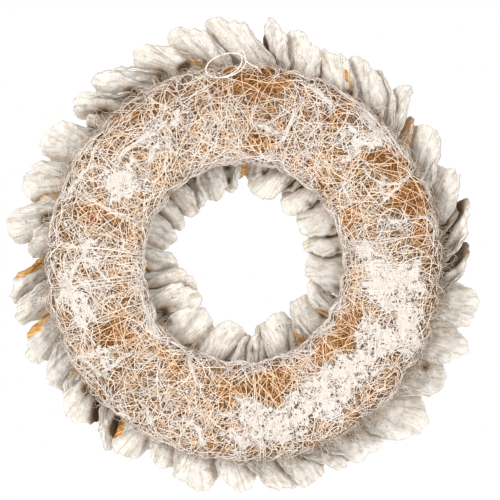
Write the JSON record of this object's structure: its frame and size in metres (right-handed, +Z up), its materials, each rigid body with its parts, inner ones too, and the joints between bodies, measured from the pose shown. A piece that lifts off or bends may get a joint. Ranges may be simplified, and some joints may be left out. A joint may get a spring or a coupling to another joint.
{
  "type": "tree fungus wreath",
  "caption": "Round wreath of overlapping whitewashed bracket fungi on a wound plant-fibre ring, hung by a wire eye on its back.",
  "frame": {"origin": "where the nail bears on the inside of the top of the wire eye, above the ring's back", "axes": "+Z up as the wreath hangs, +Y out of the wall towards the room and the fungi's front, +X to the right seen from behind"},
  "size_m": [0.4018, 0.0816, 0.4042],
  "materials": {
    "fibre": "matte",
    "fungus": "matte",
    "wire": "satin"
  },
  "bodies": {
    "root": {"base_ring": "fibre", "hanging_eye": "wire", "fungus_outer_rim_01": "fungus", "fungus_outer_rim_02": "fungus", "fungus_outer_rim_03": "fungus", "fungus_outer_rim_04": "fungus", "fungus_outer_rim_05": "fungus", "fungus_outer_rim_06": "fungus", "fungus_outer_rim_07": "fungus", "fungus_outer_rim_08": "fungus", "fungus_outer_rim_09": "fungus", "fungus_outer_rim_10": "fungus", "fungus_outer_rim_11": "fungus", "fungus_outer_rim_12": "fungus", "fungus_outer_rim_13": "fungus", "fungus_outer_rim_14": "fungus", "fungus_outer_rim_15": "fungus", "fungus_inner_rim_01": "fungus", "fungus_inner_rim_02": "fungus", "fungus_inner_rim_03": "fungus", "fungus_inner_rim_04": "fungus", "fungus_inner_rim_05": "fungus", "fungus_inner_rim_06": "fungus", "fungus_inner_rim_07": "fungus", "fungus_inner_rim_08": "fungus", "fungus_inner_rim_09": "fungus", "fungus_front_outer_01": "fungus", "fungus_front_outer_02": "fungus", "fungus_front_outer_03": "fungus", "fungus_front_outer_04": "fungus", "fungus_front_outer_05": "fungus", "fungus_front_outer_06": "fungus", "fungus_front_outer_07": "fungus", "fungus_front_outer_08": "fungus", "fungus_front_outer_09": "fungus", "fungus_front_outer_10": "fungus", "fungus_front_outer_11": "fungus", "fungus_front_outer_12": "fungus", "fungus_front_outer_13": "fungus", "fungus_front_outer_14": "fungus", "fungus_front_outer_15": "fungus", "fungus_front_outer_16": "fungus", "fungus_front_outer_17": "fungus", "fungus_front_outer_18": "fungus", "fungus_front_inner_01": "fungus", "fungus_front_inner_02": "fungus", "fungus_front_inner_03": "fungus", "fungus_front_inner_04": "fungus", "fungus_front_inner_05": "fungus", "fungus_front_inner_06": "fungus", "fungus_front_inner_07": "fungus", "fungus_front_inner_08": "fungus", "fungus_front_inner_09": "fungus", "fungus_front_inner_10": "fungus", "fungus_front_inner_11": "fungus", "fungus_front_inner_12": "fungus", "fungus_front_inner_13": "fungus", "fungus_front_inner_14": "fungus", "fungus_front_inner_15": "fungus", "fungus_front_inner_16": "fungus"}
  },
  "joints": []
}
